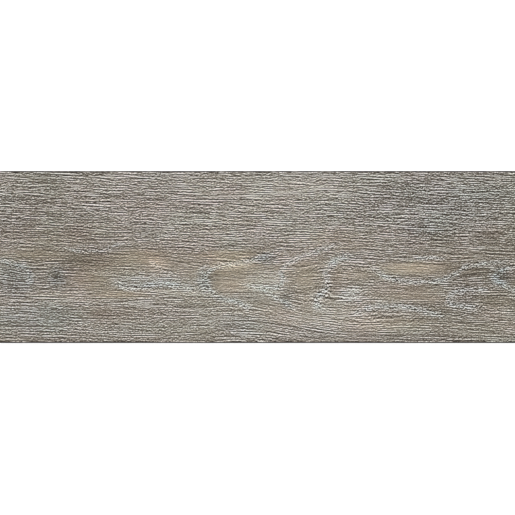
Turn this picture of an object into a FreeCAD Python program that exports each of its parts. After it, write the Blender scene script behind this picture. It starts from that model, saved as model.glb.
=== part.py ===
"""A rectified porcelain plank tile, 600 x 200 x 9 mm, lying on its back.

The tile is one pressed and fired piece: a plain slab with ground edges, a fine arris round its
face, and a keyed back. The back is pressed as one shallow field inside a flat rim, crossed by a
lattice of low ribs with drafted flanks, which the adhesive grips.

Frame: X runs along the plank, Y across it and Z up out of the face. The origin is the middle of
the back. All sizes are millimetres, and angles are degrees.
"""

import FreeCAD, Part
import os
import Sketcher

PARTS_FOLDER = "parts"
SHEET = "sizes"

# The sizes that can be set by themselves. How many ribs there are follows from them.
SIZES = {
    "tile_length": 600.0,
    "tile_width": 200.0,
    "tile_thickness": 9.0,
    "arris_width": 0.8,
    "rim_width": 12.0,
    "key_depth": 0.7,
    "flank_draft": 35.0,
    "rib_crest": 4.0,
    "pitch_along": 24.0,
    "pitch_across": 22.0,
}

# The pressed field of the back lies inside the rim.
FIELD_LENGTH = f"({SHEET}.tile_length - 2 * {SHEET}.rim_width)"
FIELD_WIDTH = f"({SHEET}.tile_width - 2 * {SHEET}.rim_width)"

# A drafted flank spreads by this much between the crest of a rib and the floor of the field.
FLANK_SPREAD = f"({SHEET}.key_depth * tan({SHEET}.flank_draft))"

# Rough corners that a sketch starts from. Its constraints then pull them into place.
ROUGH_RECTANGLE = [(-3, -1), (3, -1), (3, 1), (-3, 1)]
ROUGH_RIB = [(-2, 0), (2, 0), (3, 1), (-3, 1)]
ROUGH_SIZE = 1.0


def even_count(length, pitch):
    """The even number of cells nearest to that pitch, so that a rib lies on the middle line."""
    return f"(2 * max(1; round({length} / (2 * {SHEET}.{pitch}))))"


CELLS_ALONG = even_count(FIELD_LENGTH, "pitch_along")
CELLS_ACROSS = even_count(FIELD_WIDTH, "pitch_across")


def make_sheet(doc):
    """The driving dimensions, each in a cell with an alias."""
    sheet = doc.addObject("Spreadsheet::Sheet", SHEET)
    for row, (alias, value) in enumerate(SIZES.items(), start=1):
        sheet.set(f"A{row}", alias)
        sheet.set(f"B{row}", str(value))
        sheet.setAlias(f"B{row}", alias)
    doc.recompute()


def origin_feature(body, role):
    """One of the body's own planes or axes, such as XY_Plane or X_Axis."""
    return next(f for f in body.Origin.OriginFeatures if f.Role == role)


def sketch_on(body, plane, name, corners):
    """A sketch on one of the body's planes, with straight sides through the corners."""
    sketch = body.newObject("Sketcher::SketchObject", name)
    sketch.AttachmentSupport = (origin_feature(body, plane), [""])
    sketch.MapMode = "FlatFace"
    count = len(corners)
    for i in range(count):
        start, end = corners[i], corners[(i + 1) % count]
        line = Part.LineSegment(FreeCAD.Vector(*start, 0), FreeCAD.Vector(*end, 0))
        sketch.addGeometry(line, False)
    for i in range(count):
        sketch.addConstraint(Sketcher.Constraint("Coincident", i, 2, (i + 1) % count, 1))
    return sketch


def dimension(sketch, kind, points, name, expression):
    """A size in a sketch that is tied to the sheet."""
    index = sketch.addConstraint(Sketcher.Constraint(kind, *points, ROUGH_SIZE))
    sketch.renameConstraint(index, name)
    sketch.setExpression(f"Constraints.{name}", expression)


def centred_rectangle(body, name, length, width):
    """A rectangle on the back plane with its middle on the origin."""
    sketch = sketch_on(body, "XY_Plane", name, ROUGH_RECTANGLE)
    for side, way in enumerate(("Horizontal", "Vertical") * 2):
        sketch.addConstraint(Sketcher.Constraint(way, side))
    sketch.addConstraint(Sketcher.Constraint("Symmetric", 0, 1, 1, 2, -1, 1))
    dimension(sketch, "DistanceX", (0, 1, 0, 2), "length", length)
    dimension(sketch, "DistanceY", (1, 1, 1, 2), "width", width)
    return sketch


def rib_section(body, plane, name, middle):
    """A drafted rib's section, crest down on the back plane, at a distance from the origin."""
    sketch = sketch_on(body, plane, name, ROUGH_RIB)
    crest, base = 0, 2
    sketch.addConstraint(Sketcher.Constraint("PointOnObject", crest, 1, -1))
    sketch.addConstraint(Sketcher.Constraint("Horizontal", crest))
    sketch.addConstraint(Sketcher.Constraint("Horizontal", base))
    dimension(sketch, "DistanceX", (crest, 1, crest, 2), "crest", f"{SHEET}.rib_crest")
    dimension(sketch, "DistanceX", (base, 2, crest, 1), "left_flank", FLANK_SPREAD)
    dimension(sketch, "DistanceX", (crest, 2, base, 1), "right_flank", FLANK_SPREAD)
    dimension(sketch, "DistanceY", (crest, 1, base, 2), "depth", f"{SHEET}.key_depth")
    left_of_middle = f"{middle} + {SHEET}.rib_crest / 2"
    dimension(sketch, "DistanceX", (crest, 1, -1, 1), "place", left_of_middle)
    return sketch


def slab(body):
    """The ground slab, full size all round."""
    outline = centred_rectangle(body, "outline", f"{SHEET}.tile_length", f"{SHEET}.tile_width")
    feature = body.newObject("PartDesign::Pad", "slab")
    feature.Profile = outline
    feature.setExpression("Length", f"{SHEET}.tile_thickness")
    return feature


def face_arris(body, block):
    """The fine bevel that the grinding line leaves round the face."""
    top = block.Shape.BoundBox.ZMax
    edges = [
        f"Edge{number}"
        for number, edge in enumerate(block.Shape.Edges, start=1)
        if edge.BoundBox.ZMin > top - Part.Precision.confusion()
    ]
    feature = body.newObject("PartDesign::Chamfer", "face_arris")
    feature.Base = (block, edges)
    feature.setExpression("Size", f"{SHEET}.arris_width")


def key_field(body):
    """The shallow field pressed into the back, with drafted walls up to the flat rim."""
    outline = centred_rectangle(body, "field_outline", FIELD_LENGTH, FIELD_WIDTH)
    feature = body.newObject("PartDesign::Pocket", "key_field")
    feature.Profile = outline
    feature.Reversed = True
    feature.setExpression("Length", f"{SHEET}.key_depth")
    feature.setExpression("TaperAngle", f"-{SHEET}.flank_draft")


def rib_row(body, name, plane, axis, field_run, field_span, cells):
    """Ribs that run one way over the whole field, evenly spaced across it along the axis."""
    pitch = f"({field_span} / {cells})"
    section = rib_section(body, plane, f"{name}_section", f"({field_span} / 2 - {pitch})")
    rib = body.newObject("PartDesign::Pad", f"{name}_rib")
    rib.Profile = section
    rib.SideType = "Symmetric"
    rib.setExpression("Length", field_run)
    row = body.newObject("PartDesign::LinearPattern", f"{name}_ribs")
    row.Originals = [rib]
    row.Direction = (origin_feature(body, axis), [""])
    row.setExpression("Length", f"{field_span} - 2 * {pitch}")
    row.setExpression("Occurrences", f"{cells} - 1")
    body.Tip = row


def plank_tile(doc):
    """The tile in the order it is made: the slab, its arris, the field of the back and its ribs."""
    body = doc.addObject("PartDesign::Body", "plank_tile")
    body.Label = "plank_tile"
    block = slab(body)
    doc.recompute()
    face_arris(body, block)
    key_field(body)
    doc.recompute()
    rib_row(body, "lengthwise", "YZ_Plane", "Y_Axis", FIELD_LENGTH, FIELD_WIDTH, CELLS_ACROSS)
    doc.recompute()
    rib_row(body, "crosswise", "XZ_Plane", "X_Axis", FIELD_WIDTH, FIELD_LENGTH, CELLS_ALONG)
    return body


def check(doc, bodies):
    """Stops if an object failed or a piece is not a sound solid."""
    failed = [o.Name for o in doc.Objects if {"Invalid", "Error"} & set(o.State)]
    if failed:
        raise RuntimeError(f"these objects failed: {failed}")
    for body in bodies:
        if body.Shape.isNull() or not body.Shape.isValid() or len(body.Shape.Solids) != 1:
            raise RuntimeError(f"{body.Label} is not one sound solid")


def main():
    doc = FreeCAD.newDocument("porcelain_plank_tile")
    make_sheet(doc)
    bodies = [plank_tile(doc)]
    doc.recompute()
    check(doc, bodies)
    os.makedirs(PARTS_FOLDER, exist_ok=True)
    for body in bodies:
        body.Shape.exportStep(os.path.join(PARTS_FOLDER, f"{body.Label}.step"))
        box = body.Shape.BoundBox
        print(f"{body.Label}: {box.XLength:.3f} x {box.YLength:.3f} x {box.ZLength:.3f} mm, "
              f"volume {body.Shape.Volume:.1f} mm3, {len(body.Shape.Faces)} faces")


main()
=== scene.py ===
"""A wood look porcelain plank tile, lying on its back with its embossed and printed face up."""

import math

import bpy
import numpy as np
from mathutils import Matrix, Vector


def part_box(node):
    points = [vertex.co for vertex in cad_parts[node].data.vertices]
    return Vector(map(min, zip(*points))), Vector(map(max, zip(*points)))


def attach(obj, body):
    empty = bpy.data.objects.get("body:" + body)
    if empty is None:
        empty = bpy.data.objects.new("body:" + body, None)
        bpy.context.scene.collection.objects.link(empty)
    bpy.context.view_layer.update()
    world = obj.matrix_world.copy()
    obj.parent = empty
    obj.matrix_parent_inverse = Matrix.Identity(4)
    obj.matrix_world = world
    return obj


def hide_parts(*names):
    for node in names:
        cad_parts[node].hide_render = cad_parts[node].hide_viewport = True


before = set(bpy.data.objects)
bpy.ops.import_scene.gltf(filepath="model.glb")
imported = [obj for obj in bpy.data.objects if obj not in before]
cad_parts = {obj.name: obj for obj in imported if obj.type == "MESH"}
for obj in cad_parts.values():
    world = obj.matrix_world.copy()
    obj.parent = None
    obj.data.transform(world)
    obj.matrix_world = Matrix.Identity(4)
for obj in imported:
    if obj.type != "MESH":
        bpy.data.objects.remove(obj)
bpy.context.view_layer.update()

# The tile: one slab of porcelain, pressed, glazed, printed with an oak figure, fired and ground
# square. Its sides and keyed back are those of the frame. Its face is a fine net of points inside
# the arris, which the grain of the press plate then pushes down.
MM = 0.001
tile_low, tile_high = (Vector(corner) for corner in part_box("plank_tile"))
ARRIS = 0.8 * MM
# The net's quads are kept few enough for the whole tile to stay under 200,000 triangles.
GRAIN_COLUMNS = 276
GRAIN_ROWS = 336

face_columns = np.linspace(tile_low.x + ARRIS, tile_high.x - ARRIS, GRAIN_COLUMNS + 1)
face_rows = np.linspace(tile_low.y + ARRIS, tile_high.y - ARRIS, GRAIN_ROWS + 1)
# How far each point of the face lies along the plank and across it, in millimetres.
along, across = np.meshgrid(face_columns / MM, face_rows / MM)

CRISP_PASSES = 2


def set_apart(values, rows):
    """The values less half of what lies that many rows above and below, so that lines stand out."""
    return values - 0.5 * (np.roll(values, rows, 0) + np.roll(values, -rows, 0))


def soft_noise(lengthwise, crosswise, length, pitch, seed, crisp=False):
    """Smooth random values from -1 to 1, in cells of that length and pitch.

    Crisp values differ from those of the rows beside them, as fine grain does.
    """
    columns = (lengthwise - lengthwise.min()) / length
    rows = (crosswise - crosswise.min()) / pitch
    corners = (int(rows.max()) + 2, int(columns.max()) + 2)
    knots = np.random.default_rng(seed).uniform(-1, 1, corners)
    if crisp:
        for _ in range(CRISP_PASSES):
            knots = set_apart(knots, 1)
    knots /= np.abs(knots).max()
    left = columns.astype(int)
    low = rows.astype(int)
    right_share, high_share = (x * x * (3 - 2 * x) for x in (columns - left, rows - low))
    low_edge = knots[low, left] * (1 - right_share) + knots[low, left + 1] * right_share
    high_edge = knots[low + 1, left] * (1 - right_share) + knots[low + 1, left + 1] * right_share
    return low_edge * (1 - high_share) + high_edge * high_share


# The slope of the grain, in degrees. It falls a little along the plank, and bends round the knots
# beside it. Each bend: its middle along and across, its reach along and across, all in
# millimetres, and how many degrees it adds.
FALL = -2.3
SMALL_WAVER = 2.5
BROAD_WAVER = 2
BENDS = (
    (-290, -14, 26, 18, -13),
    (-211, 16, 24, 12, -3),
    (-150, 24, 30, 10, 6),
    (-98, -8, 32, 10, -6),
    (34, -6, 40, 12, 12),
    (66, -28, 18, 18, 11),
    (62, 14, 30, 12, 5),
    (145, -4, 28, 32, -5),
    (137, 73, 32, 12, -5),
    (246, -12, 22, 13, 13),
    (246, -38, 24, 10, 8),
    (34, -57, 46, 13, -18),
    (50, -84, 60, 16, -14),
    (137, -62, 20, 20, 3),
    (240, -66, 50, 12, -5),
    (-205, -84, 50, 14, -4),
    (20, 72, 80, 30, 2),
)
slope = FALL + SMALL_WAVER * soft_noise(along, across, length=20, pitch=6, seed=11)
slope += BROAD_WAVER * soft_noise(along, across, length=45, pitch=18, seed=12)
# How far the grain has drifted across the plank, which the streaks of the print follow. A bend
# carries them by a share of its slope, because more would heap them up beside it.
DRIFT_SHARE = 0.6
drift = math.tan(math.radians(FALL)) * along
for middle_along, middle_across, reach_along, reach_across, degrees in BENDS:
    past = (along - middle_along) / reach_along
    aside = (across - middle_across) / reach_across
    slope += degrees * np.exp(-(past**2) - aside**2)
    most_drift = DRIFT_SHARE * math.tan(math.radians(degrees)) * reach_along
    drift += most_drift * past * np.exp(-0.5 * past**2 - aside**2)

COLUMN_STEP = along[0, 1] - along[0, 0]
ROW_STEP = across[1, 0] - across[0, 0]
rise_a_column = np.tan(np.radians(slope)) * COLUMN_STEP
# Grooves start up to this many columns before the face, so that they run in over its near end, and
# each cuts into the rows beside its line.
COLUMNS_BEFORE_FACE = 20
LEAST_STRENGTH = 0.3
ROWS_BESIDE = range(-2, 4)


def grain_grooves(count, least, spread, width, seed):
    """Grooves that follow the slope of the grain from place to place, added up on the face.

    Their lengths start at the least one and tail off with the spread, all in millimetres.
    """
    draw = np.random.default_rng(seed)
    lengths = least + draw.exponential(spread, count)
    column = draw.integers(-COLUMNS_BEFORE_FACE, GRAIN_COLUMNS, count)
    line = draw.uniform(0, GRAIN_ROWS, count) * ROW_STEP
    strength = draw.uniform(LEAST_STRENGTH, 1, count)
    columns_long = (lengths / COLUMN_STEP).astype(int) + 1
    grooves = np.zeros_like(along)
    for step in range(columns_long.max()):
        here = (step < columns_long) & (column >= 0) & (column <= GRAIN_COLUMNS)
        taper = np.sin(math.pi * (step + 0.5) / np.maximum(columns_long, step + 1)) ** 0.5
        for beside in ROWS_BESIDE:
            row = (line / ROW_STEP).astype(int) + beside
            kept = here & (row >= 0) & (row <= GRAIN_ROWS)
            off_line = (row * ROW_STEP - line) / width
            cut = strength * taper * np.exp(-(off_line**2))
            np.add.at(grooves, (row[kept], column[kept]), cut[kept])
        near_row = np.clip((line / ROW_STEP).astype(int), 0, GRAIN_ROWS)
        line = line + rise_a_column[near_row, np.clip(column, 0, GRAIN_COLUMNS)]
        column = column + 1
    return grooves


# The embossing. Fine grooves follow the grain, each with a raised lip beside it, under 3 mm from
# lip to lip. Long open pores lie among them.
EMBOSS_DEPTH = 0.22 * MM
PORE_DEPTH = 0.2 * MM
LIP_ROWS = 2
LIP_PASSES = 2
GROOVE_RANGE = 0.22
PORE_BOLDNESS = 1.1
groove = grain_grooves(count=12000, least=5, spread=13, width=0.42, seed=21)
for _ in range(LIP_PASSES):
    groove = set_apart(groove, LIP_ROWS)
# From 0 for a lip to 1 for the floor of a groove.
groove = np.clip(0.5 + GROOVE_RANGE * groove / groove.std(), 0, 1)
pore = np.clip(PORE_BOLDNESS * grain_grooves(count=420, least=20, spread=28, width=0.5, seed=22), 0, 1)

STEPS_A_SPAN = 6


def smooth_path(points):
    """Points on a smooth curve that passes through all of these."""
    spots = np.array([points[0], *points, points[-1]], float)
    path = []
    for before, start, end, after in zip(spots, spots[1:], spots[2:], spots[3:]):
        for step in np.arange(STEPS_A_SPAN) / STEPS_A_SPAN:
            bend = (2 * before - 5 * start + 4 * end - after) * step**2
            twist = (3 * start - before - 3 * end + after) * step**3
            path.append(start + 0.5 * ((end - before) * step + bend + twist))
    path.append(spots[-1])
    return np.array(path)


# The figure wanders a little off its drawn lines, as growth rings do, and frays along the grain,
# by these many millimetres at most. The line fall is how far a line of the grain falls in each
# millimetre along the plank.
WANDER_ALONG = 1.0
WANDER_ACROSS = 0.6
FRAY = 3
LINE_FALL = 0.04
on_line = across + LINE_FALL * along
ring_along = along + WANDER_ALONG * soft_noise(along, across, length=9, pitch=7, seed=31)
ring_along += FRAY * soft_noise(along, on_line, length=20, pitch=1.3, seed=33, crisp=True)
ring_across = across + WANDER_ACROSS * soft_noise(along, across, length=12, pitch=5, seed=32)
# A ring fades over this share of its run at either end, down to the least strength.
END_FADE = 0.12
END_STRENGTH = 0.15


def ring_line(points, width):
    """How near each point of the face is to a growth ring, from 0 to 1, fading at its ends."""
    path = smooth_path(points)
    nearest = np.zeros_like(along)
    spans = len(path) - 1
    for number, (start, end) in enumerate(zip(path, path[1:])):
        run = end - start
        share = (ring_along - start[0]) * run[0] + (ring_across - start[1]) * run[1]
        share = np.clip(share / (run @ run), 0, 1)
        gap = (ring_along - start[0] - share * run[0]) ** 2
        gap += (ring_across - start[1] - share * run[1]) ** 2
        place = (number + share) / spans
        fade = np.clip(np.minimum(place, 1 - place) / END_FADE, END_STRENGTH, 1)
        nearest = np.maximum(nearest, fade * np.exp(-gap / width**2))
    return nearest


# The pale growth rings of the figure, which are limed blue-white: points in millimetres from the
# middle of the face, width and strength.
PALE_RINGS = (
    ([(30, 8), (17, 4), (5, 0), (-9, -5), (-26, -8), (-41, -10), (-52, -14), (-60, -20), (-61, -28),
      (-56, -37), (-48, -45), (-37, -50), (-23, -52), (-11, -58), (0, -62)], 3.4, 0.9),
    ([(-58, -9), (-64, -17), (-66, -26), (-64, -35), (-56, -43)], 4.5, 0.5),
    ([(-169, -31), (-151, -36), (-130, -34), (-108, -31), (-88, -35), (-67, -40)], 3.5, 0.7),
    ([(103, 15), (88, 12), (73, 8), (49, 0), (34, -8), (27, -17), (29, -27), (22, -36)], 3.2, 0.8),
    ([(-20, -31), (0, -36), (12, -41), (22, -48), (34, -55), (48, -62)], 2.8, 0.75),
    ([(116, 1), (102, 0), (92, -3), (84, -10), (80, -19), (81, -31), (76, -42), (69, -50), (70, -57),
      (80, -62)], 4.2, 1.1),
    ([(130, -13), (140, -17), (149, -22), (160, -26), (177, -29), (200, -29), (218, -26), (230, -19),
      (239, -13), (253, -9), (273, -7), (300, -5)], 3.2, 0.85),
    ([(108, -69), (121, -63), (133, -58), (148, -57), (166, -58), (183, -60), (201, -65),
      (219, -70)], 3.2, 0.75),
    ([(278, -36), (259, -38), (240, -39), (227, -44), (223, -50), (228, -56), (245, -57),
      (263, -60)], 3.4, 0.85),
    ([(303, -10), (288, -14), (276, -22), (282, -30), (294, -37), (303, -39)], 3.2, 0.8),
    ([(-303, -3), (-290, -6), (-276, -11), (-266, -19), (-264, -28), (-270, -36)], 3.6, 0.65),
    ([(183, -2), (201, -1), (219, -2)], 1.6, 0.8),
    ([(-227, 12), (-213, 8), (-195, 7), (-178, 8), (-167, 13), (-151, 16)], 1.5, 0.7),
    ([(-127, -5), (-116, -11), (-106, -17), (-95, -21)], 2.5, 0.4),
    ([(-3, -34), (12, -36), (26, -35)], 3, 0.7),
)
# The dark growth rings, drawn the same way.
DARK_RINGS = (
    ([(-303, 13), (-276, 13), (-253, 12), (-230, 8), (-212, 5), (-192, 4), (-176, 6), (-162, 10),
      (-142, 12), (-113, 9), (-78, 9), (-49, 12), (-20, 15), (5, 15)], 0.9, 0.7),
    ([(102, -8), (117, -15), (131, -24), (148, -33), (172, -37), (195, -36), (215, -31), (233, -24),
      (247, -16)], 0.9, 0.6),
    ([(226, -73), (238, -77), (256, -79), (282, -74), (303, -73)], 0.9, 0.7),
    ([(206, 20), (224, 16), (253, 15), (282, 16), (303, 17)], 0.9, 0.6),
    ([(84, -10), (89, -20), (89, -30), (84, -40), (80, -48)], 1.2, 0.4),
    ([(40, -12), (46, -22), (40, -33), (40, -44), (54, -60)], 1.4, 0.3),
    ([(-50, -17), (-46, -27), (-50, -38), (-39, -44)], 1.4, 0.4),
    ([(236, -45), (240, -50), (248, -54), (257, -56)], 1.2, 0.5),
)


def all_rings(rings):
    """The strongest of these rings at each point of the face."""
    strongest = np.zeros_like(along)
    for points, width, strength in rings:
        strongest = np.maximum(strongest, strength * ring_line(points, width))
    return strongest


# The limed rings are uneven, paler in some places than in others.
RING_LEVEL = 0.85
RING_UNEVENNESS = 0.45
pale_ring = all_rings(PALE_RINGS)
pale_ring *= RING_LEVEL + RING_UNEVENNESS * soft_noise(along, across, length=7, pitch=4, seed=34)
dark_ring = all_rings(DARK_RINGS)

# The patches of the print, each fading at its rim: the middle along and across, the reach along
# and across, how warm it is (below 0 for blue) and how light it is (below 0 for dark). They lie
# above the heart of the figure, in it and below it.
UPPER_PATCHES = (
    (-240, 92, 60, 9, 0.1, -0.4),
    (-262, 57, 50, 24, 0.0, -0.45),
    (-212, 26, 81, 13, 0.2, -0.3),
    (-20, 83, 70, 14, 0.15, 0.25),
    (73, 76, 70, 19, -0.05, 0.35),
    (-32, 48, 70, 16, 0.1, 0.1),
    (212, 66, 87, 30, -0.5, -0.5),
    (195, 34, 35, 10, -0.4, -0.3),
    (289, 16, 26, 46, 0.2, -0.3),
    (98, 20, 47, 14, 0.45, -0.1),
    (232, 24, 60, 16, 0.1, -0.35),
    (-190, 55, 45, 16, 0.0, -0.2),
    (30, 64, 20, 12, 0.0, 0.2),
    (115, 62, 35, 25, 0.0, -0.22),
    (285, 84, 30, 25, 0.0, -0.3),
    (-292, 50, 30, 32, 0.0, -0.3),
)
HEART_PATCHES = (
    (-40, -20, 190, 30, 0.35, 0.1),
    (240, -25, 70, 40, 0.15, -0.45),
    (-225, -14, 60, 26, 0.1, -0.25),
    (-270, 1, 42, 9, 0.5, 0.1),
    (-285, -27, 24, 21, -0.7, -0.4),
    (-216, -8, 10, 12, 0.0, -0.25),
    (-192, -5, 32, 10, 0.3, -0.5),
    (-240, 11, 42, 12, 0.1, 0.2),
    (-138, 1, 30, 10, 0.7, -0.05),
    (-232, -23, 10, 12, -0.8, -0.6),
    (-192, -28, 27, 10, 0.5, 0.1),
    (-158, -44, 30, 5, 0.7, 0.0),
    (-116, -8, 13, 7, 0.5, 0.5),
    (-125, -28, 47, 8, -0.6, 0.4),
    (-90, -41, 33, 7, -0.1, 0.7),
    (-61, -26, 9, 14, -0.5, -0.75),
    (-32, 2, 35, 6, 0.7, 0.1),
    (-26, -9, 28, 5, 0.8, 0.3),
    (-34, -17, 28, 6, 0.4, -0.1),
    (-30, -33, 23, 9, 0.4, 0.3),
    (9, -2, 14, 6, -0.9, -0.7),
    (12, -31, 21, 13, -0.4, 0.7),
    (33, -50, 6, 10, -0.4, -0.5),
    (56, -26, 13, 26, 0.35, 0.2),
    (91, -26, 8, 20, 0.2, -0.1),
    (115, -20, 23, 7, 0.4, 0.25),
    (109, -43, 14, 9, -0.7, 1.3),
    (180, -13, 40, 7, 0.9, 0.4),
    (156, -22, 36, 12, 0.0, 0.25),
    (182, -36, 42, 6, 0.3, 0.05),
    (189, -47, 52, 7, 0.45, 0.2),
    (242, -10, 34, 12, 0.1, -0.35),
    (282, -24, 12, 12, -0.8, -0.25),
    (245, 2, 60, 15, 0.0, 0.3),
    (238, -46, 24, 12, -0.3, -0.3),
    (275, -48, 26, 13, 0.35, -0.15),
    (206, -28, 25, 25, 0.0, 0.2),
)
LOWER_PATCHES = (
    (-230, -47, 53, 8, 0.2, 0.15),
    (-265, -71, 52, 16, -0.6, -0.1),
    (-166, -62, 47, 9, 0.2, -0.15),
    (-20, -80, 26, 12, -0.6, 0.1),
    (78, -66, 81, 14, 0.3, 0.4),
    (150, -79, 50, 10, 0.5, 0.1),
    (207, -66, 26, 14, 0.1, -0.35),
    (265, -80, 52, 14, 0.3, 0),
    (-275, -72, 40, 18, 0.0, 0.25),
    (-262, -95, 60, 8, 0.0, -0.3),
    (206, -95, 45, 7, 0.0, -0.3),
    (-20, -55, 90, 28, 0.0, 0.15),
    (60, -80, 110, 12, 0.0, 0.25),
    (205, -30, 60, 20, 0.0, 0.1),
)
BROAD_WARMTH = 0.12
FINE_WARMTH = 0.08
BROAD_SHADE = 0.06
RIM_FALL = 1.5
warmth = BROAD_WARMTH * soft_noise(along, across, length=60, pitch=14, seed=41)
warmth += FINE_WARMTH * soft_noise(along, across, length=34, pitch=5, seed=42)
shade = BROAD_SHADE * soft_noise(along, on_line, length=70, pitch=12, seed=43)
for patch in UPPER_PATCHES + HEART_PATCHES + LOWER_PATCHES:
    middle_along, middle_across, reach_along, reach_across, warm, light = patch
    from_middle = ((ring_along - middle_along) / reach_along) ** 2
    from_middle += ((ring_across - middle_across) / reach_across) ** 2
    nearness = np.exp(-(from_middle**RIM_FALL))
    warmth += warm * nearness
    shade += light * nearness
# The print is a little lighter on the near side of its middle line than on the far side.
SIDE_SHADE = 0.07
SIDE_REACH = 50
shade -= SIDE_SHADE * np.clip(across / SIDE_REACH, -1, 1)
# Where the print turns rosy, and where it turns green.
rosiness = soft_noise(along, across, length=30, pitch=16, seed=45)

# The grain bites deepest where a pale ring crosses it and on the far side, where it is coarse. It
# bites least in the warm wood.
PLAIN_BITE = 1.15
RING_BITE = 0.7
WARM_BITE = 0.85
LEAST_WARM, MOST_WARM = -0.1, 0.65
FAR_BITE = 0.4
FAR_REACH = 40
BITE_UNEVENNESS = 0.15
bite = PLAIN_BITE + RING_BITE * pale_ring - WARM_BITE * np.clip(warmth, LEAST_WARM, MOST_WARM)
bite += FAR_BITE * np.clip(across / FAR_REACH, 0, 1)
bite += BITE_UNEVENNESS * soft_noise(along, across, length=60, pitch=12, seed=44)
# A dark ring is a row of open pores.
pore = np.maximum(pore, dark_ring)

depth = EMBOSS_DEPTH * groove * bite + PORE_DEPTH * pore
depth -= depth.min()

# The slab as one closed mesh: the embossed face, the arris that the grinding wheels leave round it,
# four ground sides, and the keyed back, which is copied from the frame as it was pressed. Where
# the grain runs out at the arris, the rim of the face slides down the arris as far as it is deep.
slide_along = np.zeros_like(along)
slide_along[:, 0] = -depth[:, 0]
slide_along[:, -1] = depth[:, -1]
slide_across = np.zeros_like(along)
slide_across[0, :] = -depth[0, :]
slide_across[-1, :] = depth[-1, :]
face_points = np.stack([along * MM + slide_along, across * MM + slide_across, tile_high.z - depth], -1)
face_points = face_points.reshape(-1, 3)

numbers = np.arange(len(face_points)).reshape(GRAIN_ROWS + 1, GRAIN_COLUMNS + 1)
face_quads = np.stack([numbers[:-1, :-1], numbers[:-1, 1:], numbers[1:, 1:], numbers[1:, :-1]], -1)
face_quads = face_quads.reshape(-1, 4).tolist()

# The face's own border, once round from the near left corner, one run for each side.
border_runs = (numbers[0, :], numbers[:, -1], numbers[-1, ::-1], numbers[::-1, 0])
border = np.concatenate([run[:-1] for run in border_runs])
outer_points = face_points[border].copy()
HAIR = 1e-6 * MM
at_ends = np.abs(outer_points[:, 0]) > face_columns[-1] - HAIR
at_sides = np.abs(outer_points[:, 1]) > face_rows[-1] - HAIR
outer_points[at_ends, 0] = np.sign(outer_points[at_ends, 0]) * tile_high.x
outer_points[at_sides, 1] = np.sign(outer_points[at_sides, 1]) * tile_high.y
outer_points[:, 2] = tile_high.z - ARRIS
outer = np.arange(len(border)) + len(face_points)
following = np.roll(np.arange(len(border)), -1)
arris_quads = np.stack([outer, outer[following], border[following], border], -1).tolist()


def spot(place):
    """A place to the nearest micrometre, which is the same for all faces that meet there."""
    return tuple(round(value / MM, 3) for value in place)


# The pressed back's faces lie no higher than the floor of its key, 0.7 mm up.
KEY_FLOOR = 0.71 * MM
frame_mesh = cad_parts["plank_tile"].data
back_points = []
back_faces = []
point_at = {}
for polygon in frame_mesh.polygons:
    corners = [frame_mesh.vertices[number].co for number in polygon.vertices]
    if max(corner.z for corner in corners) > KEY_FLOOR:
        continue
    for corner in corners:
        if spot(corner) not in point_at:
            point_at[spot(corner)] = len(face_points) + len(outer_points) + len(back_points)
            back_points.append(tuple(corner))
    back_faces.append([point_at[spot(corner)] for corner in corners])

# Each side runs from one corner of the back to the next, and up to its run of the arris.
BACK_HEIGHT = 0.0
back_corners = [
    point_at[spot((x, y, BACK_HEIGHT))]
    for x, y in (
        (tile_low.x, tile_low.y),
        (tile_high.x, tile_low.y),
        (tile_high.x, tile_high.y),
        (tile_low.x, tile_high.y),
    )
]
side_starts = np.cumsum([0] + [len(run) - 1 for run in border_runs])
side_walls = []
for side in range(4):
    top_run = [outer[i % len(outer)] for i in range(side_starts[side], side_starts[side + 1] + 1)]
    side_walls.append([back_corners[side], back_corners[(side + 1) % 4], *reversed(top_run)])

tile_mesh = bpy.data.meshes.new("oak_plank_tile")
all_points = np.concatenate([face_points, outer_points, np.array(back_points)])
tile_mesh.from_pydata(all_points.tolist(), [], face_quads + arris_quads + side_walls + back_faces)
GLAZE, GROUND_BODY, PRESSED_BACK = 0, 1, 2
finishes = np.repeat(
    [GLAZE, GROUND_BODY, PRESSED_BACK],
    [len(face_quads), len(arris_quads) + len(side_walls), len(back_faces)],
)
tile_mesh.polygons.foreach_set("material_index", finishes)
tile_mesh.polygons.foreach_set("use_smooth", finishes == GLAZE)


def keep_on_mesh(name, values):
    """Stores a value for each point of the face, and 0 elsewhere."""
    padded = np.zeros(len(all_points))
    padded[: len(face_points)] = values.ravel()
    tile_mesh.attributes.new(name, "FLOAT", "POINT").data.foreach_set("value", padded)


keep_on_mesh("drift", drift * MM)
keep_on_mesh("groove", groove)
keep_on_mesh("pore", pore)
keep_on_mesh("bite", bite)
keep_on_mesh("pale_ring", pale_ring)
keep_on_mesh("shade", shade)
keep_on_mesh("warmth", warmth)
keep_on_mesh("rosiness", rosiness)

# The tile spread out flat on its map, named OFBake. Each place on the map is two corners, and most
# of the room is for the face. The two ends share a strip.
FACE_PLACE = ((0.004, 0.32), (0.996, 0.995))
BACK_PLACE = ((0.004, 0.09), (0.996, 0.31))
SIDE_PLACES = (
    ((0.004, 0.004), (0.996, 0.026)),
    ((0.004, 0.06), (0.496, 0.082)),
    ((0.004, 0.032), (0.996, 0.054)),
    ((0.504, 0.06), (0.996, 0.082)),
)
corner_points = np.zeros(len(tile_mesh.loops), int)
tile_mesh.loops.foreach_get("vertex_index", corner_points)
corner_counts = np.zeros(len(tile_mesh.polygons), int)
tile_mesh.polygons.foreach_get("loop_total", corner_counts)
corner_faces = np.repeat(np.arange(len(corner_counts)), corner_counts)
corner_shares = (all_points[corner_points] - tile_low) / (tile_high - tile_low)
map_places = np.zeros((len(corner_points), 2))


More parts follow.
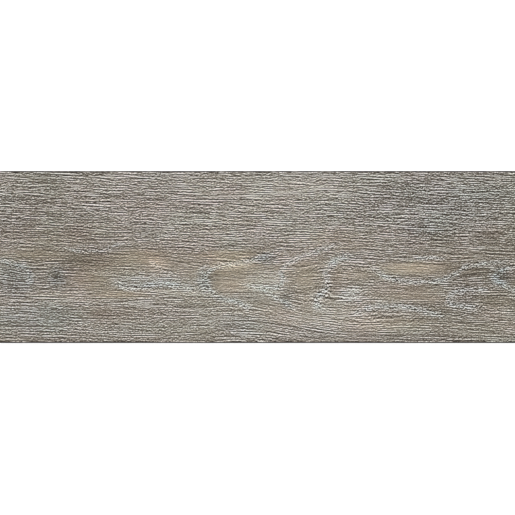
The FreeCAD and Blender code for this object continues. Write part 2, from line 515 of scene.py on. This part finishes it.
def spread_out(first_face, last_face, axes, place):
    """Lays these faces on the map within its place, as seen along the third axis."""
    chosen = (corner_faces >= first_face) & (corner_faces < last_face)
    near, far = (np.array(corner) for corner in place)
    map_places[chosen] = near + corner_shares[chosen][:, axes] * (far - near)


first_wall = len(face_quads) + len(arris_quads)
first_of_back = first_wall + len(side_walls)
spread_out(0, first_wall, [0, 1], FACE_PLACE)
for side, place in enumerate(SIDE_PLACES):
    spread_out(first_wall + side, first_wall + side + 1, [side % 2, 2], place)
spread_out(first_of_back, len(corner_counts), [0, 1], BACK_PLACE)
tile_map = tile_mesh.uv_layers.new(name="OFBake")
tile_map.data.foreach_set("uv", map_places.ravel())

tile = bpy.data.objects.new("oak_plank_tile", tile_mesh)
bpy.context.scene.collection.objects.link(tile)
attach(tile, "root")
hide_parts("plank_tile")


def add_node(tree, kind, inputs=None, **settings):
    """A shader node with its settings, and with its inputs linked or set."""
    made = tree.nodes.new(kind)
    for name, value in settings.items():
        setattr(made, name, value)
    for name, value in (inputs or {}).items():
        if isinstance(value, bpy.types.NodeSocket):
            tree.links.new(value, made.inputs[name])
        else:
            made.inputs[name].default_value = value
    return made


def part(value, weight, middle=0.0):
    """A part of a weighed sum: its value, how much it counts, and the middle it is counted from."""
    return value, weight, middle


def weighed_sum(tree, start, *parts):
    """The start value plus each part, counted from its own middle, times its weight."""
    total = start - sum(middle * weight for _, weight, middle in parts)
    for value, weight, _ in parts:
        step = {0: value, 1: weight, 2: total}
        total = add_node(tree, "ShaderNodeMath", step, operation="MULTIPLY_ADD").outputs[0]
    return total


def colour_ramp(tree, value, stops):
    """A colour for each value, through these stops."""
    ramp = add_node(tree, "ShaderNodeValToRGB", {"Fac": value})
    elements = ramp.color_ramp.elements
    while len(elements) < len(stops):
        elements.new(0.5)
    for element, (position, colour) in zip(elements, stops):
        element.position = position
        element.color = (*colour, 1)
    return ramp.outputs["Color"]


def new_group(name, inputs, outputs):
    """An empty node group with these sockets, its input node and its output node."""
    group = bpy.data.node_groups.new(name, "ShaderNodeTree")
    for label, kind, value in inputs:
        socket = group.interface.new_socket(label, in_out="INPUT", socket_type=kind)
        if value is not None:
            socket.default_value = value
    for label in outputs:
        group.interface.new_socket(label, in_out="OUTPUT", socket_type="NodeSocketFloat")
    return group, group.nodes.new("NodeGroupInput").outputs, group.nodes.new("NodeGroupOutput")


# The streaks of the glaze's print and of the ground sides: dashes that lie along the first axis of
# the place they are given, each as long and as wide as its cell.
streaks, given, result = new_group(
    "grain_streaks",
    [
        ("Place", "NodeSocketVector", None),
        ("Drift", "NodeSocketFloat", 0.0),
        ("Length", "NodeSocketFloat", 0.01),
        ("Pitch", "NodeSocketFloat", 0.001),
    ],
    ["Streak"],
)
drifted = add_node(streaks, "ShaderNodeCombineXYZ", {"Y": given["Drift"]})
before_drift = add_node(
    streaks,
    "ShaderNodeVectorMath",
    {0: given["Place"], 1: drifted.outputs[0]},
    operation="SUBTRACT",
)
cell = add_node(streaks, "ShaderNodeCombineXYZ", {"X": given["Length"], "Y": given["Pitch"], "Z": 1.0})
in_cells = add_node(
    streaks,
    "ShaderNodeVectorMath",
    {0: before_drift.outputs[0], 1: cell.outputs[0]},
    operation="DIVIDE",
).outputs[0]


def fibre_tone(place):
    """The random tone of the crisp fibre at a place that is counted in cells."""
    inputs = {"Vector": place, "Scale": 1.0}
    fibres = add_node(streaks, "ShaderNodeTexVoronoi", inputs, voronoi_dimensions="2D")
    return fibres.outputs["Color"]


# A streak is how much paler a fibre is than the two beside it, so streaks leave no blotches.
NEXT_LINE = (0.0, 0.97, 0.0)
above = add_node(streaks, "ShaderNodeVectorMath", {0: in_cells, 1: NEXT_LINE}, operation="ADD")
below = add_node(streaks, "ShaderNodeVectorMath", {0: in_cells, 1: NEXT_LINE}, operation="SUBTRACT")
apart = weighed_sum(
    streaks,
    0.0,
    part(fibre_tone(in_cells), weight=1.0),
    part(fibre_tone(above.outputs[0]), weight=-0.5),
    part(fibre_tone(below.outputs[0]), weight=-0.5),
)
streaks.links.new(apart, result.inputs["Streak"])

# The speckle of fired porcelain and of its glaze: fine mineral grains, and the faint clouds that
# they gather in.
CLOUD_SCALE = 28.0
speckle, given, result = new_group(
    "mineral_speckle",
    [("Grain Size", "NodeSocketFloat", 0.0006)],
    ["Speckle", "Cloud"],
)
place = add_node(speckle, "ShaderNodeTexCoord").outputs["Object"]
fineness = add_node(speckle, "ShaderNodeMath", {0: 1.0, 1: given["Grain Size"]}, operation="DIVIDE")
grains = add_node(
    speckle,
    "ShaderNodeTexNoise",
    {"Vector": place, "Scale": fineness.outputs[0], "Detail": 1.0, "Roughness": 0.6},
)
clouds = add_node(
    speckle,
    "ShaderNodeTexNoise",
    {"Vector": place, "Scale": CLOUD_SCALE, "Detail": 3.0},
)
speckle.links.new(grains.outputs["Fac"], result.inputs["Speckle"])
speckle.links.new(clouds.outputs["Fac"], result.inputs["Cloud"])


def on_mesh(tree, name):
    """A value or vector that is stored on the mesh."""
    return add_node(tree, "ShaderNodeAttribute", attribute_name=name).outputs


def new_finish(name):
    """A material with its node tree and its shader."""
    material = bpy.data.materials.new(name)
    material.use_nodes = True
    tree = material.node_tree
    return material, tree, tree.nodes["Principled BSDF"]


# The glaze of the face: a matt glass, fused on in the kiln, with the limed oak printed in it. Its
# tone runs from 0 for the darkest line to 1 for the palest, and each mark's weight is how strongly
# it shows there. A tint by the wood's warmth lies over it.
TAUPE_STOPS = (
    (0.0, (0.026, 0.019, 0.013)),
    (0.25, (0.108, 0.091, 0.069)),
    (0.5, (0.285, 0.256, 0.210)),
    (0.75, (0.545, 0.513, 0.456)),
    (1.0, (0.94, 0.92, 0.87)),
)
TINT_STOPS = (
    (0.0, (0.76, 0.89, 0.97)),
    (0.5, (0.91, 0.90, 0.884)),
    (1.0, (1.0, 0.86, 0.68)),
)
# The faint green and the rose that come and go in the print. Both also make up for the tint, the
# middle of which takes about a tenth off each colour.
ROSE_STOPS = (
    (0.0, (1.08, 1.14, 1.11)),
    (1.0, (1.14, 1.08, 1.11)),
)

DASH_LENGTH, DASH_PITCH = 24 * MM, 1.1 * MM
FLECK_LENGTH, FLECK_PITCH = 2.4 * MM, 1.2 * MM
GRIT_SIZE = 1.1 * MM
COARSE_GRIT_SIZE = 1.5 * MM
EDGE_SHADE_WIDTH = 0.8 * MM
GLAZE_TONE = 0.391
GLAZE_ROUGHNESS = 0.56
GLAZE_SHINE = 0.4
GLAZE_RELIEF = 0.2 * MM
GLAZE_RELIEF_SHOWN = 0.6

glaze, tree, shader = new_finish("printed_glaze")
drift_here = on_mesh(tree, "drift")["Fac"]
face_place = add_node(tree, "ShaderNodeTexCoord").outputs["Object"]
on_face = {"Place": face_place, "Drift": drift_here}
dash_size = {**on_face, "Length": DASH_LENGTH, "Pitch": DASH_PITCH}
dash = add_node(tree, "ShaderNodeGroup", dash_size, node_tree=streaks).outputs["Streak"]
fleck_size = {**on_face, "Length": FLECK_LENGTH, "Pitch": FLECK_PITCH}
fleck = add_node(tree, "ShaderNodeGroup", fleck_size, node_tree=streaks).outputs["Streak"]
grit = add_node(tree, "ShaderNodeGroup", {"Grain Size": GRIT_SIZE}, node_tree=speckle)
ring_here = on_mesh(tree, "pale_ring")["Fac"]
warmth_here = on_mesh(tree, "warmth")["Fac"]
fine_grain = weighed_sum(
    tree,
    0.0,
    part(dash, weight=0.95),
    part(fleck, weight=0.8),
    part(grit.outputs["Speckle"], weight=1.7, middle=0.5),
    part(on_mesh(tree, "groove")["Fac"], weight=-0.75, middle=float(groove.mean())),
)
bitten = add_node(
    tree,
    "ShaderNodeMath",
    {0: fine_grain, 1: on_mesh(tree, "bite")["Fac"]},
    operation="MULTIPLY",
).outputs[0]
# A coarser grit breaks each line of the grain into short pieces, some crisp and some faint.
coarse_grit = add_node(tree, "ShaderNodeGroup", {"Grain Size": COARSE_GRIT_SIZE}, node_tree=speckle)
coarse_speckle = coarse_grit.outputs["Speckle"]
crispness = weighed_sum(tree, 1.0, part(coarse_speckle, weight=2.0, middle=0.5))
broken = add_node(tree, "ShaderNodeMath", {0: bitten, 1: crispness}, operation="MULTIPLY").outputs[0]
# A pale ring sparkles, with white and dark flecks side by side.
ring_grit = weighed_sum(
    tree,
    0.0,
    part(fleck, weight=1.0),
    part(coarse_speckle, weight=3.0, middle=0.5),
)
ring_flecks = add_node(
    tree,
    "ShaderNodeMath",
    {0: ring_grit, 1: ring_here},
    operation="MULTIPLY",
).outputs[0]
# Along the plank the glaze is painted darker in a thin line beside the arris: painted shade.
off_middle = add_node(tree, "ShaderNodeVectorMath", {0: face_place}, operation="ABSOLUTE").outputs[0]
aside_here = add_node(tree, "ShaderNodeSeparateXYZ", {"Vector": off_middle}).outputs["Y"]
glaze_end = tile_high.y - ARRIS
painted_edge_shade = add_node(
    tree,
    "ShaderNodeMapRange",
    {"Value": aside_here, "From Min": glaze_end - EDGE_SHADE_WIDTH, "From Max": glaze_end},
).outputs["Result"]
tone = weighed_sum(
    tree,
    GLAZE_TONE,
    part(broken, weight=1.0),
    part(ring_flecks, weight=1.55),
    part(ring_here, weight=0.1),
    part(on_mesh(tree, "pore")["Fac"], weight=-0.22),
    part(on_mesh(tree, "shade")["Fac"], weight=0.2),
    part(warmth_here, weight=0.09),
    # Painted shade along the long edges of the face.
    part(painted_edge_shade, weight=-1.3),
)
hue = weighed_sum(tree, 0.5, part(warmth_here, weight=0.28), part(ring_here, weight=-0.27))
taupe = colour_ramp(tree, tone, TAUPE_STOPS)
tint = colour_ramp(tree, hue, TINT_STOPS)
printed = add_node(tree, "ShaderNodeVectorMath", {0: taupe, 1: tint}, operation="MULTIPLY").outputs[0]
rosiness_here = weighed_sum(tree, 0.5, part(on_mesh(tree, "rosiness")["Fac"], weight=0.35))
rosy = colour_ramp(tree, rosiness_here, ROSE_STOPS)
blushed = add_node(tree, "ShaderNodeVectorMath", {0: printed, 1: rosy}, operation="MULTIPLY").outputs[0]
tree.links.new(blushed, shader.inputs["Base Color"])
roughness = weighed_sum(
    tree,
    GLAZE_ROUGHNESS,
    part(dash, weight=-0.12),
    part(grit.outputs["Cloud"], weight=0.15, middle=0.5),
)
tree.links.new(roughness, shader.inputs["Roughness"])
shader.inputs["Specular IOR Level"].default_value = GLAZE_SHINE
relief = {
    "Height": weighed_sum(tree, 0.5, part(dash, weight=0.25), part(fleck, weight=0.15)),
    "Distance": GLAZE_RELIEF,
    "Strength": GLAZE_RELIEF_SHOWN,
}
tree.links.new(add_node(tree, "ShaderNodeBump", relief).outputs[0], shader.inputs["Normal"])

# The bare porcelain body, which shows on the sides and the arris. The grinding wheels cut it clean
# and leave long faint marks. The band of the arris is darkest: painted shade along the face's edge.
BODY_STOPS = (
    (0.0, (0.014, 0.012, 0.010)),
    (0.3, (0.125, 0.114, 0.098)),
    (0.5, (0.195, 0.179, 0.156)),
    (0.7, (0.265, 0.246, 0.218)),
)
ARRIS_SHADE_BAND = 1.1 * ARRIS
BODY_GRIT_SIZE = 0.7 * MM
MARK_LENGTH, MARK_PITCH = 30 * MM, 0.5 * MM
BODY_ROUGHNESS = 0.62
BODY_SHINE = 0.25
BODY_RELIEF = 0.1 * MM
BODY_RELIEF_SHOWN = 0.5

ground_body, tree, shader = new_finish("ground_porcelain")
grit = add_node(tree, "ShaderNodeGroup", {"Grain Size": BODY_GRIT_SIZE}, node_tree=speckle).outputs
body_place = add_node(tree, "ShaderNodeTexCoord").outputs["Object"]
where = add_node(tree, "ShaderNodeSeparateXYZ", {"Vector": body_place}).outputs
height_up = where["Z"]
# The wheels run along each side, so their marks lie along X on the long sides and Y on the ends.
run = add_node(tree, "ShaderNodeMath", {0: where["X"], 1: where["Y"]}, operation="ADD").outputs[0]
side_place = add_node(tree, "ShaderNodeCombineXYZ", {"X": run, "Y": height_up}).outputs[0]
mark_size = {"Place": side_place, "Length": MARK_LENGTH, "Pitch": MARK_PITCH}
wheel_mark = add_node(tree, "ShaderNodeGroup", mark_size, node_tree=streaks).outputs["Streak"]
# Painted shade: the band of the arris is darkened in colour.
arris_range = {"From Min": tile_high.z - ARRIS_SHADE_BAND, "From Max": tile_high.z - ARRIS}
painted_arris_shade = add_node(
    tree,
    "ShaderNodeMapRange",
    {"Value": height_up, **arris_range},
).outputs["Result"]
body_tone = weighed_sum(
    tree,
    0.5,
    part(grit["Speckle"], weight=0.5, middle=0.5),
    part(grit["Cloud"], weight=0.5, middle=0.5),
    part(wheel_mark, weight=0.15),
    # Painted shade on the arris.
    part(painted_arris_shade, weight=-0.5),
)
tree.links.new(colour_ramp(tree, body_tone, BODY_STOPS), shader.inputs["Base Color"])
body_roughness = weighed_sum(
    tree,
    BODY_ROUGHNESS,
    part(grit["Speckle"], weight=0.3, middle=0.5),
    part(wheel_mark, weight=0.1),
)
tree.links.new(body_roughness, shader.inputs["Roughness"])
shader.inputs["Specular IOR Level"].default_value = BODY_SHINE
relief = {
    "Height": weighed_sum(
        tree,
        0.5,
        part(grit["Speckle"], weight=0.6, middle=0.5),
        part(wheel_mark, weight=0.4),
    ),
    "Distance": BODY_RELIEF,
    "Strength": BODY_RELIEF_SHOWN,
}
tree.links.new(add_node(tree, "ShaderNodeBump", relief).outputs[0], shader.inputs["Normal"])

# The unglazed back, as the lower punch pressed it. White kiln wash is rubbed on the rim and the
# crests of the ribs, which rode on the kiln's rollers.
BACK_STOPS = (
    (0.2, (0.115, 0.104, 0.090)),
    (0.4, (0.175, 0.160, 0.140)),
    (0.6, (0.27, 0.25, 0.225)),
    (0.85, (0.52, 0.50, 0.47)),
)
BACK_GRIT_SIZE = 0.9 * MM
WASHED_UP_TO = 0.15 * MM
BACK_TONE = 0.38
BACK_ROUGHNESS = 0.8

pressed_back, tree, shader = new_finish("pressed_back")
grit = add_node(tree, "ShaderNodeGroup", {"Grain Size": BACK_GRIT_SIZE}, node_tree=speckle).outputs
back_place = add_node(tree, "ShaderNodeTexCoord").outputs["Object"]
back_height = add_node(tree, "ShaderNodeSeparateXYZ", {"Vector": back_place}).outputs["Z"]
crest = add_node(
    tree,
    "ShaderNodeMapRange",
    {"Value": back_height, "From Min": WASHED_UP_TO, "From Max": 0.0},
).outputs["Result"]
rubbed = add_node(tree, "ShaderNodeMath", {0: crest, 1: grit["Cloud"]}, operation="MULTIPLY").outputs[0]
back_tone = weighed_sum(
    tree,
    BACK_TONE,
    part(grit["Speckle"], weight=0.4, middle=0.5),
    part(grit["Cloud"], weight=0.4, middle=0.5),
    part(rubbed, weight=0.75),
)
tree.links.new(colour_ramp(tree, back_tone, BACK_STOPS), shader.inputs["Base Color"])
back_roughness = weighed_sum(tree, BACK_ROUGHNESS, part(grit["Speckle"], weight=0.3, middle=0.5))
tree.links.new(back_roughness, shader.inputs["Roughness"])

for finish in (glaze, ground_body, pressed_back):
    tile_mesh.materials.append(finish)

# The table that the tile lies on: plain and white, and not part of the tile. It shows white to the
# camera, and keeps the tile's shadow. It is open just inside the tile's outline, so that the tile's
# back is lit and can be looked at.
FLOOR_REACH = 3.0
FLOOR_DROP = 0.1 * MM
FLOOR_UNDER_TILE = 1.0 * MM
FLOOR_WHITE = (0.9, 0.9, 0.9, 1)
FLOOR_ROUGHNESS = 0.9
FLOOR_GLOW = 0.75
CORNER_WAYS = ((-1, -1), (1, -1), (1, 1), (-1, 1))
opening = (tile_high.x - FLOOR_UNDER_TILE, tile_high.y - FLOOR_UNDER_TILE)
floor_points = [
    (x * reach_along, y * reach_across, tile_low.z - FLOOR_DROP)
    for reach_along, reach_across in ((FLOOR_REACH, FLOOR_REACH), opening)
    for x, y in CORNER_WAYS
]
floor_sides = []
for corner in range(4):
    next_corner = (corner + 1) % 4
    floor_sides.append((corner, next_corner, next_corner + 4, corner + 4))
floor_mesh = bpy.data.meshes.new("white_table")
floor_mesh.from_pydata(floor_points, [], floor_sides)
floor = bpy.data.objects.new("white_table", floor_mesh)
bpy.context.scene.collection.objects.link(floor)
white, tree, shader = new_finish("white_table_top")
shader.inputs["Base Color"].default_value = FLOOR_WHITE
shader.inputs["Roughness"].default_value = FLOOR_ROUGHNESS
seen = add_node(tree, "ShaderNodeLightPath").outputs
plainly = add_node(
    tree,
    "ShaderNodeMath",
    {0: seen["Is Camera Ray"], 1: seen["Is Glossy Ray"]},
    operation="MAXIMUM",
).outputs[0]
glow = add_node(tree, "ShaderNodeMath", {0: plainly, 1: FLOOR_GLOW}, operation="MULTIPLY")
tree.links.new(glow.outputs[0], shader.inputs["Emission Strength"])
shader.inputs["Emission Color"].default_value = (1, 1, 1, 1)
# The table is clear from below.
from_below = add_node(tree, "ShaderNodeNewGeometry").outputs["Backfacing"]
clear = add_node(tree, "ShaderNodeBsdfTransparent").outputs["BSDF"]
one_sided = add_node(
    tree,
    "ShaderNodeMixShader",
    {0: from_below, 1: shader.outputs["BSDF"], 2: clear},
)
tree.links.new(one_sided.outputs[0], tree.nodes["Material Output"].inputs["Surface"])
floor_mesh.materials.append(white)

# The lamp: broad and soft, beyond the tile's far edge and a little to its left, low enough for the
# grain to cast small shadows.
LAMP_STRENGTH = 2.5
LAMP_SPREAD = 14
LAMP_FROM = Vector((-0.25, 1.0, 0.95))
key_lamp = bpy.data.lights.new("far_edge_lamp", "SUN")
key_lamp.energy = LAMP_STRENGTH
key_lamp.angle = math.radians(LAMP_SPREAD)
lamp = bpy.data.objects.new("far_edge_lamp", key_lamp)
bpy.context.scene.collection.objects.link(lamp)
lamp.rotation_mode = "QUATERNION"
lamp.rotation_quaternion = LAMP_FROM.to_track_quat("Z", "Y")

# The room: even and white all round, which fills the shadows. The camera sees it as full white,
# and it lights the tile at a lower level.
ROOM_LEVEL = 0.42
ROOM_SEEN = 1.0
room = bpy.data.worlds.new("pale_room")
bpy.context.scene.world = room
room.use_nodes = True
tree = room.node_tree
seen = add_node(tree, "ShaderNodeLightPath").outputs
level = add_node(
    tree,
    "ShaderNodeMapRange",
    {"Value": seen["Is Camera Ray"], "To Min": ROOM_LEVEL, "To Max": ROOM_SEEN},
)
tree.nodes["Background"].inputs["Color"].default_value = (1, 1, 1, 1)
tree.links.new(level.outputs[0], tree.nodes["Background"].inputs["Strength"])

# The camera looks straight down through a long lens, with the tile's far edge at the top. The
# picture's side, the tile's height in it and the row of the tile's middle are in pixels, and the
# sensor and the lens are in millimetres.
PICTURE_SIDE = 515
PICTURE_TILE_ROWS = 172.2
PICTURE_TILE_MIDDLE_ROW = 256.95
SENSOR = 36
LENS = 200
metres_per_pixel = (tile_high.y - tile_low.y) / PICTURE_TILE_ROWS
picture_width = PICTURE_SIDE * metres_per_pixel
camera_data = bpy.data.cameras.new("camera")
camera_data.sensor_width = SENSOR
camera_data.lens = LENS
camera = bpy.data.objects.new("camera", camera_data)
bpy.context.scene.collection.objects.link(camera)
camera_height = tile_high.z + picture_width * LENS / SENSOR
rows_below_middle = PICTURE_SIDE / 2 - PICTURE_TILE_MIDDLE_ROW
camera.location = (0, -rows_below_middle * metres_per_pixel, camera_height)
bpy.context.scene.camera = camera

bpy.context.scene.view_settings.view_transform = "Standard"
